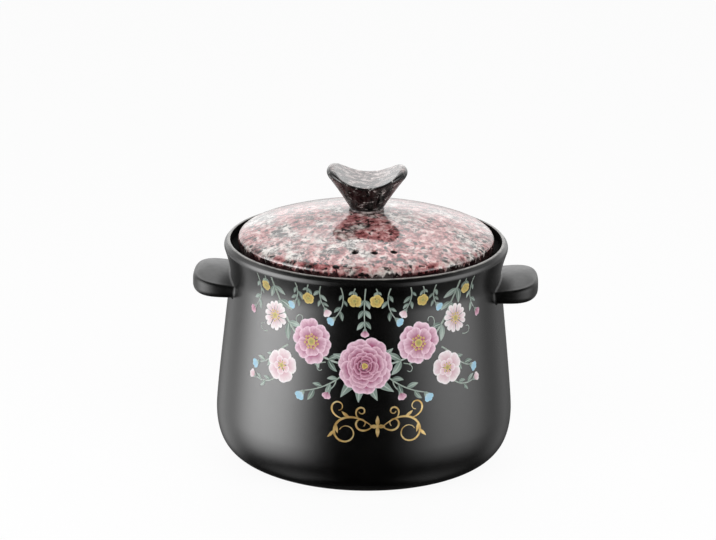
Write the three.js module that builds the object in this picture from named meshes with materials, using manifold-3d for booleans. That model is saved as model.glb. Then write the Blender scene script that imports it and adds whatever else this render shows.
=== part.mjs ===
// Round ceramic cooking pot with two lug handles and a domed lid that lifts off by its knob.
// Sizes are in millimetres. The axis is +Z, the pot stands on Z = 0 and its front faces -Y.

import * as THREE from 'three';
import { mergeVertices } from 'three/addons/utils/BufferGeometryUtils.js';
import Module from 'manifold-3d';

const wasm = await Module();
wasm.setup();

// Vessel, outside: radii are set from the rim, heights near the mouth from the crest of the lip
const potHeight = 157.5;
const rimRadius = 100;
const lipWidth = 3.4;
const lipDrop = 3.4;
const beadHeight = 2.4;
const beadOverhang = 0.7;
const neckInset = 4.7;
const neckDrop = 25.7;
const bellyOutset = 5;
const bellyHeight = 34.5;
const footInset = 31;
const footRingWidth = 13;
const footRecess = 1.5;

// Vessel, inside
const wallThickness = 7;
const floorThickness = 8;
const crestRound = 1.2;
const ledgeDepth = 7;
const ledgeWidth = 11.9;
const ledgeMargin = 1.5;

// Lid
const lidGap = 5.6;
const lidEdgeHeight = 10.4;
const lidEdgeRound = 3;
const lidShoulder = 9;
const lidShoulderDrop = 4.5;
const domeRise = 17.5;
const lidThickness = 7;
const skirtGap = 1.2;
const skirtDepth = 8;
const skirtThickness = 5;

// Steam vents through the lid, on an arc at the front
const ventCount = 3;
const ventRadius = 2.2;
const ventInset = 19.8;
const ventPitch = 13.2;
const ventTurn = THREE.MathUtils.degToRad(6.4);

// Knob: heights are from the top of the lid's dome
const knobNeckRadius = 11.8;
const knobRadius = 28.2;
const knobTipHeight = 31.2;
const saddleHeight = 21.5;
const saddleRadius = 34;
const noseTopHeight = 4.1;
const noseTopWidth = 4.2;
const noseUnderHeight = 4.1;
const noseUnderWidth = 2;
const flareHollow = 1;

// Handles: the thickness is at the root, and the top climbs by the rise towards the tip
const handleReach = 25.5;
const handleWidth = 65;
const handleThickness = 11.4;
const handleRise = 4;
const handleDrop = 26.4;
const handleEdgeRound = 3.4;
const handleLeastSide = 0.8;

// Fits: the lid stands on its ledge, the handles and the knob are luted on
const seatGap = 0.3;
const jointGap = 0.3;

// Fullness of the corners: a quarter circle, the squarer turns of the belly and the handles, the flatter lip
const roundCorner = 0.5523;
const bellyCorner = 0.69;
const handleCorner = 0.72;
const lipCorner = 0.3;

// Shares of a stretch of wall over which its curve keeps to the direction it starts or ends in
const bellyPull = 1 / 8;
const neckPull = 1 / 4;
const beadPull = 1 / 3;

// Slope at which the neck flares out to the lip
const lipFlare = 1 / 3;

// Fineness of the round forms
const turnSteps = 48;
const longSteps = 8;
const bendSteps = 5;
const smallSteps = 3;
const ventSteps = 12;

// Points closer than this are one point
const samePlace = 1e-3;

// Places that follow from the sizes
const beadZ = potHeight - lipDrop;
const neckRadius = rimRadius - neckInset;
const neckZ = potHeight - neckDrop;
const bellyRadius = rimRadius + bellyOutset;
const footRadius = bellyRadius - footInset;
const crestRadius = rimRadius - lipWidth;
const recessRadius = crestRadius - crestRound;
const ledgeZ = potHeight - ledgeDepth;
const ledgeRadius = recessRadius - ledgeWidth;
const seatZ = ledgeZ + seatGap;
const skirtZ = seatZ - skirtDepth;
const lidRadius = recessRadius - lidGap;
const domeRadius = (lidRadius ** 2 + domeRise ** 2) / (2 * domeRise);
const lidTopZ = seatZ + lidEdgeHeight + domeRise;

const at = (r, z) => new THREE.Vector2(r, z);

// Points of a smooth bend between two places, pulled towards two others.
function bend(steps, start, pullStart, pullEnd, end) {
  return new THREE.CubicBezierCurve(start, pullStart, pullEnd, end).getPoints(steps);
}

// Points of a corner that leaves its start towards the middle and reaches its end from there.
function corner(steps, start, middle, end, fullness = roundCorner) {
  const pullStart = start.clone().lerp(middle, fullness);
  const pullEnd = end.clone().lerp(middle, fullness);
  return bend(steps, start, pullStart, pullEnd, end);
}

// One outline from several stretches, without the doubled points where they meet.
function outline(...stretches) {
  const points = stretches.flat();
  return points.filter((point, i) => i === 0 || point.distanceTo(points[i - 1]) > samePlace);
}

// A geometry's closed solid, with its shared vertices merged and collapsed triangles left out.
function solid(geometry) {
  const bare = geometry.index ? geometry.toNonIndexed() : geometry.clone();
  bare.deleteAttribute('normal');
  bare.deleteAttribute('uv');
  const merged = mergeVertices(bare, samePlace);
  const corners = merged.index.array;
  const triVerts = [];
  for (let i = 0; i < corners.length; i += 3) {
    const [a, b, c] = corners.slice(i, i + 3);
    if (a !== b && b !== c && c !== a) {
      triVerts.push(a, b, c);
    }
  }
  return new wasm.Manifold(new wasm.Mesh({
    numProp: 3,
    vertProperties: new Float32Array(merged.attributes.position.array),
    triVerts: new Uint32Array(triVerts),
  }));
}

// The named mesh of a finished solid.
function piece(name, body, look) {
  const { vertProperties, triVerts } = body.getMesh();
  const geometry = new THREE.BufferGeometry();
  geometry.setAttribute('position', new THREE.BufferAttribute(vertProperties, 3));
  geometry.setIndex(new THREE.BufferAttribute(triVerts, 1));
  geometry.computeVertexNormals();
  const mesh = new THREE.Mesh(geometry, look);
  mesh.name = name;
  return mesh;
}

// A turned solid from an outline of (radius, height) points.
function turned(points) {
  return solid(new THREE.LatheGeometry(points, turnSteps).rotateX(Math.PI / 2));
}

// The vessel's outside, from the foot's edge up to the widest line of the lip's bead.
function vesselWall(grow = 0) {
  const foot = at(footRadius, 0);
  const belly = at(bellyRadius, bellyHeight);
  const neck = at(neckRadius, neckZ);
  const underBead = at(rimRadius - beadOverhang, beadZ - beadHeight);
  const wallSpan = neckZ - bellyHeight;
  const neckSpan = underBead.y - neckZ;
  const lean = (bellyRadius - neckRadius) / wallSpan;
  const points = outline(
    corner(longSteps, foot, at(bellyRadius, 0), belly, bellyCorner),
    bend(bendSteps, belly, at(bellyRadius, bellyHeight + wallSpan * bellyPull),
      at(neckRadius + lean * wallSpan * neckPull, neckZ - wallSpan * neckPull), neck),
    bend(bendSteps, neck, at(neckRadius - lean * neckSpan * neckPull, neckZ + neckSpan * neckPull),
      at(underBead.x - neckSpan * beadPull * lipFlare, underBead.y - neckSpan * beadPull), underBead),
    corner(smallSteps, underBead, at(rimRadius, underBead.y), at(rimRadius, beadZ)),
  );
  return points.map((point) => at(point.x + grow, point.y));
}

// The vessel: foot ring, belly, neck, sloping lip, ledge for the lid and the cooking hollow.
function vessel() {
  const crest = at(crestRadius, potHeight);
  const footInside = footRadius - footRingWidth;
  const innerNeck = at(neckRadius - wallThickness, neckZ);
  const innerBelly = at(bellyRadius - wallThickness, bellyHeight);
  const floorEdge = at(footRadius, floorThickness);
  const wallSpan = neckZ - bellyHeight;
  return turned(outline(
    [at(0, footRecess), at(footInside - footRecess, footRecess), at(footInside, 0)],
    vesselWall(),
    corner(smallSteps, at(rimRadius, beadZ), at(rimRadius, potHeight), crest, lipCorner),
    corner(smallSteps, crest, at(recessRadius, potHeight), at(recessRadius, potHeight - crestRound)),
    [at(recessRadius, ledgeZ), at(ledgeRadius, ledgeZ), at(ledgeRadius, skirtZ - ledgeMargin)],
    bend(bendSteps, innerNeck, at(innerNeck.x, neckZ - wallSpan * neckPull),
      at(innerBelly.x, bellyHeight + wallSpan * neckPull), innerBelly),
    corner(bendSteps, innerBelly, at(innerBelly.x, floorThickness), floorEdge, bellyCorner),
    [at(0, floorThickness)],
  ));
}

// Height of the lid's domed top at a distance from the axis.
function domeZ(r) {
  return lidTopZ - domeRadius + Math.sqrt(domeRadius ** 2 - r ** 2);
}

// Slope of the domed top at a distance from the axis, falling outwards.
function domeSlope(r) {
  return r / Math.sqrt(domeRadius ** 2 - r ** 2);
}

// Points along the dome between two radii, lowered by a depth.
function domeLine(from, to, depth = 0) {
  return Array.from({ length: longSteps + 1 }, (_, i) => {
    const r = THREE.MathUtils.lerp(from, to, i / longSteps);
    return at(r, domeZ(r) - depth);
  });
}

// A round bar along Z that reaches through the lid where a vent goes.
function ventBar(angle) {
  const reach = 2 * (lidTopZ - skirtZ + ventRadius);
  const circleRadius = lidRadius - ventInset;
  const bar = new THREE.CylinderGeometry(ventRadius, ventRadius, reach, ventSteps);
  bar.rotateX(Math.PI / 2);
  bar.translate(circleRadius * Math.sin(angle), -circleRadius * Math.cos(angle), lidTopZ);
  return solid(bar);
}

// The lid: dome, rounded edge that stands on the ledge, locating skirt and vents.
function lid() {
  const skirtRadius = ledgeRadius - skirtGap;
  const skirtInside = skirtRadius - skirtThickness;
  const shoulderRadius = lidRadius - lidShoulder;
  const shoulder = at(shoulderRadius, domeZ(shoulderRadius));
  const shoulderTop = shoulder.y - domeSlope(shoulderRadius) * lidShoulder;
  const edgeFoot = seatZ + lidEdgeRound;
  const edgeTop = Math.max(shoulderTop - lidShoulderDrop, edgeFoot);
  const shell = turned(outline(
    domeLine(0, skirtInside, lidThickness),
    [at(skirtInside, skirtZ), at(skirtRadius, skirtZ), at(skirtRadius, seatZ)],
    corner(smallSteps, at(lidRadius - lidEdgeRound, seatZ), at(lidRadius, seatZ), at(lidRadius, edgeFoot)),
    corner(bendSteps, at(lidRadius, edgeTop), at(lidRadius, shoulderTop), shoulder),
    domeLine(shoulderRadius, 0),
  ));
  const ventStep = ventPitch / (lidRadius - ventInset);
  const firstVent = ventTurn - ventStep * (ventCount - 1) / 2;
  return Array.from({ length: ventCount }, (_, i) => ventBar(firstVent + i * ventStep))
    .reduce((body, bar) => body.subtract(bar), shell);
}

// The knob: a trumpet that widens to a rounded nose, its top scooped out along Y into a saddle.
function knob() {
  const tipZ = lidTopZ + knobTipHeight;
  const noseZ = tipZ - noseTopHeight;
  const neck = at(knobNeckRadius, domeZ(knobNeckRadius) + jointGap);
  const flareEnd = at(knobRadius - noseUnderWidth, noseZ - noseUnderHeight);
  const flarePull = (share) => neck.clone().lerp(flareEnd, share).sub(at(flareHollow, 0));
  const trumpet = turned(outline(
    [at(0, lidTopZ + jointGap)],
    bend(bendSteps, neck, flarePull(1 / 3), flarePull(2 / 3), flareEnd),
    corner(smallSteps, flareEnd, at(knobRadius, noseZ - noseUnderHeight / 2), at(knobRadius, noseZ)),
    corner(smallSteps, at(knobRadius, noseZ), at(knobRadius, tipZ), at(knobRadius - noseTopWidth, tipZ)),
    [at(0, tipZ)],
  ));
  const scoopLength = 4 * knobRadius;
  const scoop = new THREE.CylinderGeometry(saddleRadius, saddleRadius, scoopLength, turnSteps);
  scoop.translate(0, 0, lidTopZ + saddleHeight + saddleRadius);
  return trumpet.subtract(solid(scoop));
}

// Radius of the vessel's outside at a height.
function wallRadiusAt(z) {
  const points = vesselWall();
  const next = points.findIndex((point) => point.y > z);
  const low = points[next - 1];
  const high = points[next];
  return THREE.MathUtils.mapLinear(z, low.y, high.y, low.x, high.x);
}

// The lug handle on the +X side: a half-round tab with a level underside, whose root follows the wall.
function handle() {
  const bottomZ = potHeight - handleDrop - handleThickness;
  const middleZ = bottomZ + handleThickness / 2;
  const root = wallRadiusAt(middleZ);
  const tip = root + handleReach;
  const half = handleWidth / 2;
  const insideWall = Math.sqrt(root ** 2 - half ** 2) - wallThickness;
  const plan = new THREE.Shape(outline(
    [at(insideWall, -half)],
    corner(longSteps, at(root, -half), at(tip, -half), at(tip, 0), handleCorner),
    corner(longSteps, at(tip, 0), at(tip, half), at(root, half), handleCorner),
    [at(insideWall, half)],
  ));
  const edge = Math.min(handleEdgeRound, (handleThickness - handleLeastSide) / 2);
  const tab = new THREE.ExtrudeGeometry(plan, {
    depth: handleThickness - 2 * edge,
    bevelThickness: edge,
    bevelSize: edge,
    bevelOffset: -edge,
    bevelSegments: smallSteps,
  });
  tab.translate(0, 0, bottomZ + edge);
  const spots = tab.attributes.position;
  for (let i = 0; i < spots.count; i++) {
    if (spots.getZ(i) > middleZ) {
      spots.setZ(i, spots.getZ(i) + handleRise * (spots.getX(i) - root) / handleReach);
    }
  }
  const vesselRoom = turned([at(0, 0), ...vesselWall(jointGap), at(0, beadZ)]);
  return solid(tab).subtract(vesselRoom);
}

const blackGlaze = new THREE.MeshStandardMaterial({ color: 0x1d1c1b, roughness: 0.42, metalness: 0 });
const speckledGlaze = new THREE.MeshStandardMaterial({ color: 0xb98a88, roughness: 0.18, metalness: 0 });

const rightHandle = piece('right_handle', handle(), blackGlaze);
const leftHandle = rightHandle.clone();
leftHandle.name = 'left_handle';
leftHandle.rotation.z = Math.PI;

const pot = new THREE.Group();
pot.add(piece('pot_body', vessel(), blackGlaze), leftHandle, rightHandle);

const cover = new THREE.Group();
cover.add(piece('lid', lid(), speckledGlaze), piece('lid_knob', knob(), speckledGlaze));

const cookingPot = new THREE.Group();
cookingPot.add(pot, cover);

export default cookingPot;
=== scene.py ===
"""Looks of the ceramic cooking pot: fine glazed forms, floral print, gilding, studio light and camera."""

import math

import bmesh
import bpy
import numpy as np
from mathutils import Matrix, Vector


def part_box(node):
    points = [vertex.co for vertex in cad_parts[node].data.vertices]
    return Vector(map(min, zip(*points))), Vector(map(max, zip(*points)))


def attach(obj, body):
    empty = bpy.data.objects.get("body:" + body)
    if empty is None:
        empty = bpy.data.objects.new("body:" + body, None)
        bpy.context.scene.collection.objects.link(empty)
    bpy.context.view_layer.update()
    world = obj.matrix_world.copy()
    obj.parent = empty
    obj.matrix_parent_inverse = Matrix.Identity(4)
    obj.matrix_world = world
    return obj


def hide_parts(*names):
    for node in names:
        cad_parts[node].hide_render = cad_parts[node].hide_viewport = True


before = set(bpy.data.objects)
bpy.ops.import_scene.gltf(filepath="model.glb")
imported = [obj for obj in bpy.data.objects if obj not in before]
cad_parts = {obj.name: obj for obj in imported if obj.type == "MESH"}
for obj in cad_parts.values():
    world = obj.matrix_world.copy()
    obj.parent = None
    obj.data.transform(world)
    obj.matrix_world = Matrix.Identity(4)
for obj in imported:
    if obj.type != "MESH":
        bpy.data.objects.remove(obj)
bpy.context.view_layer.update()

MM = 0.001

# The frame's boxes, in millimetres
POT_HIGH = np.array(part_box("pot_body")[1]) / MM
LID_LOW, LID_HIGH = (np.array(place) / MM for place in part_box("lid"))
KNOB_LOW, KNOB_HIGH = (np.array(place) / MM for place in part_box("lid_knob"))
HANDLE_LOW, HANDLE_HIGH = (np.array(place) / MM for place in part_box("right_handle"))

# Vessel, in millimetres
POT_HEIGHT = POT_HIGH[2]
BELLY_RADIUS = POT_HIGH[0]
RIM_RADIUS = BELLY_RADIUS - 5
LIP_WIDTH = 3.4
LIP_DROP = 3.4
LIP_ROUND = 2
CREST_INSIDE_ROUND = 0.45
LEDGE_ROUND = 0.9
NECK_RADIUS = RIM_RADIUS - 4.7
NECK_Z = POT_HEIGHT - 25.7
BELLY_Z = 34.5
FOOT_RADIUS = BELLY_RADIUS - 31
FOOT_RING_WIDTH = 13
FOOT_RECESS = 1.5
WALL_THICKNESS = 7
FLOOR_THICKNESS = 8
CREST_WIDTH = 1.2
LEDGE_Z = POT_HEIGHT - 7
LEDGE_WIDTH = 11.9
LEDGE_MARGIN = 1.5
LIP_Z = POT_HEIGHT - LIP_DROP
LIP_SLOPE_WIDTH = LIP_WIDTH - 0.6
CREST_RADIUS = RIM_RADIUS - LIP_WIDTH
RECESS_RADIUS = CREST_RADIUS - CREST_WIDTH
LEDGE_RADIUS = RECESS_RADIUS - LEDGE_WIDTH

# Lid, in millimetres
LID_RADIUS = LID_HIGH[0]
LID_TOP_Z = LID_HIGH[2]
SKIRT_Z = LID_LOW[2]
SEAT_Z = LEDGE_Z + 0.3
DOME_RISE = 17.5
DOME_RADIUS = (LID_RADIUS ** 2 + DOME_RISE ** 2) / (2 * DOME_RISE)
LID_THICKNESS = 7
LID_EDGE_ROUND = 3
LID_SHOULDER = 4.6
LID_SHOULDER_DROP = 2.8
SKIRT_RADIUS = LEDGE_RADIUS - 1.2
SKIRT_INSIDE = SKIRT_RADIUS - 5
SKIRT_ROUND = 1.5
LID_DARK_Z = SEAT_Z + 7.2
LID_DRIP = 2.4
VENT_COUNT = 3
VENT_RADIUS = 2.2
VENT_FLARE = 0.6
VENT_CIRCLE = LID_RADIUS - 19.8
VENT_PITCH = 13.2
VENT_TURN = math.radians(6.4)

# Knob, in millimetres
KNOB_NECK_RADIUS = 11.8
KNOB_RADIUS = KNOB_HIGH[0]
KNOB_TIP_Z = KNOB_HIGH[2]
SADDLE_Z = LID_TOP_Z + 21.5
SADDLE_RADIUS = 34
NOSE_TOP_HEIGHT = 4.1
NOSE_TOP_WIDTH = 4.2
NOSE_UNDER_HEIGHT = 4.1
NOSE_UNDER_WIDTH = 2
FLARE_HOLLOW = 1
KNOB_LIP_ROUND = 2.6
KNOB_BEAD = 0.8
KNOB_SUNK = 0.6

# Handles, in millimetres: the thickness is at the root, and the top climbs by the rise towards the tip
HANDLE_REACH = 25.5
HANDLE_THICKNESS = 11.4
HANDLE_RISE = 4
HANDLE_TIP = HANDLE_HIGH[0]
HANDLE_ROOT = HANDLE_TIP - HANDLE_REACH
HANDLE_HALF_WIDTH = HANDLE_HIGH[1]
HANDLE_HALF_THICKNESS = HANDLE_THICKNESS / 2
HANDLE_Z = HANDLE_LOW[2] + HANDLE_HALF_THICKNESS
HANDLE_TOP_ROUND = 2.6
HANDLE_UNDER_ROUND = 4.6
HANDLE_SQUARENESS = 2.8
HANDLE_CROWN = 2.6
HANDLE_UNDER_CROWN = 0.9
HANDLE_FILLET = 1.2
HANDLE_SUNK = 1
HANDLE_LEAD = 7
HANDLE_SPINE = 11.5

# Fullness of the corners
ROUND_CORNER = 0.5523
BELLY_CORNER = 0.69
HANDLE_EDGE_CORNER = 0.56
KNOB_LIP_CORNER = 0.62

# Fineness of the round forms
TURN_STEPS = 256
VENT_STEPS = 40
KNOB_STEPS = 192
KNOB_ROWS = 170
KNOB_SAMPLES = 400

# Angles past which an edge stays sharp, in degrees
LID_SHARP = 32
KNOB_SHARP = 40
PRINT_SHARP = 35

# The photograph's frame, in pixels, and the camera that matches it, in metres and degrees
FRAME_WIDTH = 716
FRAME_HEIGHT = 540
TARGET = Vector((0, 0, 0.085))
TARGET_PIXEL = (364.8, 336.1)
PIXELS_PER_METRE = 1408.2
CAMERA_DISTANCE = 2.0
CAMERA_AZIMUTH = 1.6
CAMERA_ELEVATION = 18.48
CAMERA_ROLL = 0.82

# Lamps, in metres: azimuth and elevation in degrees, radiance
LAMP_AIM = Vector((0, 0, 0.1))
LAMP_DISTANCE = 1.6
LAMP_WIDTH = 1.2
LAMP_HEIGHT = 1.0
LAMPS = {
    "left_light": (-38, 40, 3.4),
    "right_light": (42, 40, 3.2),
}

# Cards for the glaze to reflect, at a distance in millimetres: azimuth, half angle, lowest and highest
# elevation in degrees, radiance
CARDS = {
    "left_card": (-72, 55, -45.5, 48, 6.4),
    "left_back_card": (-128, 32, -46, 8, 0.8),
    "left_low_card": (-80, 62, -72, -22, 0.4),
    "right_card": (71, 55, -42, 48, 2.7),
    "right_back_card": (128, 32, -46, 8, 0.35),
    "right_low_card": (84, 62, -72, -22, 0.28),
}
CARD_DISTANCE = 900

# The bright back: its level, where it is brightest from left to right, and shares by the sine of elevation
BACK_LEVEL = 3.0
BACK_BRIGHTEST = -0.1
BACK_STOPS = (
    (-0.6, 0.01), (-0.3, 0.07), (-0.2, 0.16), (-0.08, 0.35), (0.0, 0.46), (0.12, 0.64), (0.2, 0.6),
    (0.38, 0.44), (0.5, 0.7), (0.6, 0.8), (0.82, 0.76), (0.9, 0.4), (0.96, 0.06), (1.0, 0.01),
)

# Print on the wall, in millimetres round it and up it
PRINT_CENTRE = 3
PRINT_LIFT = 0.08
PRINT_STEP = 0.015
PRINT_SUNK = 0.25
PETAL_VARIETY = 0.07
PRINT_TOP = 151.5
ORNAMENT_CENTRE = (12, 55)

# The print's linear colours by kind: (root, tip) of pale shapes and of deep ones, edge and maybe rib
PRINT_COLOURS = {
    "pink": (((0.4, 0.09, 0.2), (0.86, 0.66, 0.76)), ((0.13, 0.012, 0.04), (0.58, 0.18, 0.31)),
             (0.92, 0.78, 0.84)),
    "white": (((0.66, 0.48, 0.52), (0.9, 0.87, 0.87)), ((0.62, 0.3, 0.38), (0.87, 0.74, 0.77)),
              (0.93, 0.91, 0.91)),
    "blue": (((0.7, 0.8, 0.84), (0.3, 0.58, 0.74)), ((0.3, 0.5, 0.62), (0.22, 0.52, 0.72)),
             (0.72, 0.86, 0.9)),
    "yellow": (((0.3, 0.28, 0.08), (0.62, 0.5, 0.14)), ((0.5, 0.3, 0.05), (0.78, 0.58, 0.18)),
               (0.84, 0.7, 0.34)),
    "leaves": (((0.05, 0.085, 0.068), (0.2, 0.27, 0.23)), ((0.2, 0.27, 0.23), (0.46, 0.53, 0.49)),
               (0.42, 0.5, 0.45), (0.5, 0.58, 0.52)),
    "stems": (((0.3, 0.36, 0.31), (0.4, 0.46, 0.42)), ((0.3, 0.36, 0.31), (0.4, 0.46, 0.42)),
              (0.34, 0.4, 0.36)),
}


def bend(steps, start, pull_start, pull_end, end):
    """Points of a smooth bend between two places, pulled towards two others."""
    t = np.linspace(0, 1, steps + 1)[:, None]
    places = (start, pull_start, pull_end, end)
    start, pull_start, pull_end, end = (np.array(place, float) for place in places)
    near = (1 - t) ** 3 * start + 3 * (1 - t) ** 2 * t * pull_start
    far = 3 * (1 - t) * t ** 2 * pull_end + t ** 3 * end
    return near + far


def corner(steps, start, middle, end, fullness=ROUND_CORNER):
    """Points of a corner that leaves its start towards the middle and reaches its end from there."""
    start, middle, end = (np.array(place, float) for place in (start, middle, end))
    pull_start = start + fullness * (middle - start)
    pull_end = end + fullness * (middle - end)
    return bend(steps, start, pull_start, pull_end, end)


def eased(steps, place, before, after):
    """Points of a round corner at a place, from a step before it to a step after it."""
    place = np.array(place, float)
    return corner(steps, place + before, place, place + after)


def outline(*stretches, gap=1e-4):
    """One outline from several stretches, without the doubled points where they meet."""
    points = np.concatenate([np.atleast_2d(np.array(stretch, float)) for stretch in stretches])
    steps = np.linalg.norm(np.diff(points, axis=0), axis=1)
    return points[np.concatenate([[True], steps > gap])]


def resampled(points, count):
    """The same outline with a number of evenly spaced points."""
    along = np.concatenate([[0], np.cumsum(np.linalg.norm(np.diff(points, axis=0), axis=1))])
    places = np.linspace(0, along[-1], count)
    return np.stack([np.interp(places, along, column) for column in points.T], axis=1)


def mesh_object(name, vertices, faces, looks, slots=None):
    """A smooth mesh object from millimetre vertices."""
    mesh = bpy.data.meshes.new(name)
    mesh.from_pydata((np.array(vertices) * MM).tolist(), [], faces)
    for look in looks:
        mesh.materials.append(look)
    if slots is not None:
        mesh.polygons.foreach_set("material_index", slots)
    mesh.validate()
    mesh.shade_smooth()
    piece = bpy.data.objects.new(name, mesh)
    bpy.context.collection.objects.link(piece)
    return piece


def grid_faces(rows, columns, closed, first=0):
    """Quads of a grid of vertices stored row by row. A closed grid joins its last column to its first."""
    faces = []
    for row in range(rows - 1):
        for column in range(columns if closed else columns - 1):
            beside = (column + 1) % columns
            low = first + row * columns
            high = low + columns
            faces.append((low + column, low + beside, high + beside, high + column))
    return faces


def closed_rings(rings, bottom, top):
    """Vertices and faces of a closed skin over rings of points, from a bottom point to a top point."""
    rows, columns = rings.shape[:2]
    vertices = np.concatenate([rings.reshape(-1, 3), [bottom, top]])
    faces = grid_faces(rows, columns, closed=True)
    poles = rows * columns
    last = poles - columns
    faces += [(poles, (i + 1) % columns, i) for i in range(columns)]
    faces += [(poles + 1, last + i, last + (i + 1) % columns) for i in range(columns)]
    return vertices, faces


def turned(name, points, looks, row_slots=None, steps=TURN_STEPS):
    """A turned object from an outline of (radius, height) points that starts and ends on the axis."""
    angles = np.linspace(0, 2 * math.pi, steps, endpoint=False)
    radius, height = points[1:-1].T
    x = np.outer(radius, np.cos(angles))
    y = np.outer(radius, np.sin(angles))
    z = np.repeat(height[:, None], steps, axis=1)
    rings = np.stack([x, y, z], axis=2)
    vertices, faces = closed_rings(rings, (0, 0, points[0][1]), (0, 0, points[-1][1]))
    slots = None
    if row_slots is not None:
        inner = np.repeat(row_slots[1:-1], steps)
        ends = [np.full(steps, row_slots[end]) for end in (0, -1)]
        slots = np.concatenate([inner, *ends]).tolist()
    return mesh_object(name, vertices, faces, looks, slots)


def wall_outline():
    """The vessel's outside, from the foot's edge up to the lip's outer edge."""
    lip_start = (RIM_RADIUS - LIP_ROUND / 4, LIP_Z - LIP_ROUND)
    wall_span = NECK_Z - BELLY_Z
    neck_span = lip_start[1] - NECK_Z
    lean = (BELLY_RADIUS - NECK_RADIUS) / wall_span
    return outline(
        corner(40, (FOOT_RADIUS, 0), (BELLY_RADIUS, 0), (BELLY_RADIUS, BELLY_Z), BELLY_CORNER),
        bend(40, (BELLY_RADIUS, BELLY_Z), (BELLY_RADIUS, BELLY_Z + wall_span / 8),
             (NECK_RADIUS + lean * wall_span / 4, NECK_Z - wall_span / 4), (NECK_RADIUS, NECK_Z)),
        bend(20, (NECK_RADIUS, NECK_Z), (NECK_RADIUS - lean * neck_span / 4, NECK_Z + neck_span / 4),
             (lip_start[0] - neck_span / 9, lip_start[1] - neck_span / 3), lip_start),
    )


WALL = wall_outline()


def wall_radius(z):
    """Radius of the vessel's outside at a height."""
    return np.interp(z, WALL[:, 1], WALL[:, 0])


def bevel(share):
    """A place on the lip's sloping top, at a share of the way from its outer edge to its level crest."""
    return (RIM_RADIUS - share * LIP_SLOPE_WIDTH, LIP_Z + share * LIP_DROP)


def make_vessel(glaze, clay, ledge_shade):
    """The vessel, with its bevelled lip, a ledge painted dark as shade under the lid and a bare ring under
    the foot.
    """
    foot_inside = FOOT_RADIUS - FOOT_RING_WIDTH
    inner_neck = NECK_RADIUS - WALL_THICKNESS
    inner_belly = BELLY_RADIUS - WALL_THICKNESS
    wall_span = NECK_Z - BELLY_Z
    ledge_low = SKIRT_Z - LEDGE_MARGIN
    foot = outline(
        [(0, FOOT_RECESS)],
        eased(4, (foot_inside - FOOT_RECESS, FOOT_RECESS), (-FOOT_RECESS, 0),
              (FOOT_RECESS / 2, -FOOT_RECESS / 2)),
        [(foot_inside, 0), (FOOT_RADIUS - 1, 0)],
    )
    outside = outline(
        foot,
        WALL,
        corner(10, WALL[-1], (RIM_RADIUS, LIP_Z), bevel(0.35)),
        corner(8, bevel(0.85), bevel(1), (CREST_RADIUS, POT_HEIGHT)),
        eased(8, (RECESS_RADIUS, POT_HEIGHT), (CREST_INSIDE_ROUND, 0), (0, -CREST_INSIDE_ROUND)),
    )
    ledge = outline(
        eased(4, (RECESS_RADIUS, LEDGE_Z), (0, LEDGE_ROUND), (-LEDGE_ROUND, 0)),
        eased(4, (LEDGE_RADIUS, LEDGE_Z), (LEDGE_ROUND, 0), (0, -LEDGE_ROUND)),
    )
    inside = outline(
        eased(4, (LEDGE_RADIUS, ledge_low), (0, LEDGE_ROUND), (LEDGE_ROUND / 2, -LEDGE_ROUND)),
        bend(24, (inner_neck, NECK_Z), (inner_neck, NECK_Z - wall_span / 4),
             (inner_belly, BELLY_Z + wall_span / 4), (inner_belly, BELLY_Z)),
        corner(24, (inner_belly, BELLY_Z), (inner_belly, FLOOR_THICKNESS), (FOOT_RADIUS, FLOOR_THICKNESS),
               BELLY_CORNER),
        [(FOOT_RADIUS / 2, FLOOR_THICKNESS), (0, FLOOR_THICKNESS)],
    )
    body = outline(outside, ledge, inside)
    row_slots = np.zeros(len(body) - 1, int)
    row_slots[len(foot) - 2:len(foot)] = 1
    # The ledge rows take the third material, dark painted shade under the lid.
    row_slots[len(outside) - 1:len(outside) + len(ledge)] = 2
    piece = turned("vessel_glazed", body, [glaze, clay, ledge_shade], row_slots)
    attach(piece, "pot")
    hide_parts("pot_body")


def dome_z(r):
    """Height of the lid's domed top at a distance from the axis."""
    return LID_TOP_Z - DOME_RADIUS + np.sqrt(DOME_RADIUS ** 2 - np.square(r))


def dome_line(start, end, depth=0.0, steps=40):
    """Points along the dome between two radii, lowered by a depth."""
    r = np.linspace(start, end, steps)
    return np.stack([r, dome_z(r) - depth], axis=1)


def vent_cutters(angle):
    """A round bar through the lid, and a cone square to the dome that eases the vent's mouth."""
    mouth = dome_z(VENT_CIRCLE)
    clear = 6
    bar = turned("vent_bar", np.array([
        (0, SEAT_Z), (VENT_RADIUS, SEAT_Z), (VENT_RADIUS, mouth + clear), (0, mouth + clear),
    ]), [], steps=VENT_STEPS)
    cone = turned("vent_cone", np.array([
        (0, -2 * VENT_FLARE), (VENT_RADIUS - VENT_FLARE / 2, -2 * VENT_FLARE), (VENT_RADIUS, -VENT_FLARE),
        (VENT_RADIUS + VENT_FLARE / 3, -VENT_FLARE / 3), (VENT_RADIUS + VENT_FLARE, 0),
        (VENT_RADIUS + 4 * VENT_FLARE, VENT_FLARE), (0, VENT_FLARE),
    ]), [], steps=VENT_STEPS)
    tilt = math.asin(VENT_CIRCLE / DOME_RADIUS)
    out = Matrix.Translation(Vector((0, -VENT_CIRCLE, 0)) * MM)
    lean = Matrix.Translation(Vector((0, 0, mouth)) * MM) @ Matrix.Rotation(tilt, 4, "X")
    turn = Matrix.Rotation(angle, 4, "Z")
    bar.data.transform(turn @ out)
    cone.data.transform(turn @ out @ lean)
    return [bar, cone]


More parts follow.
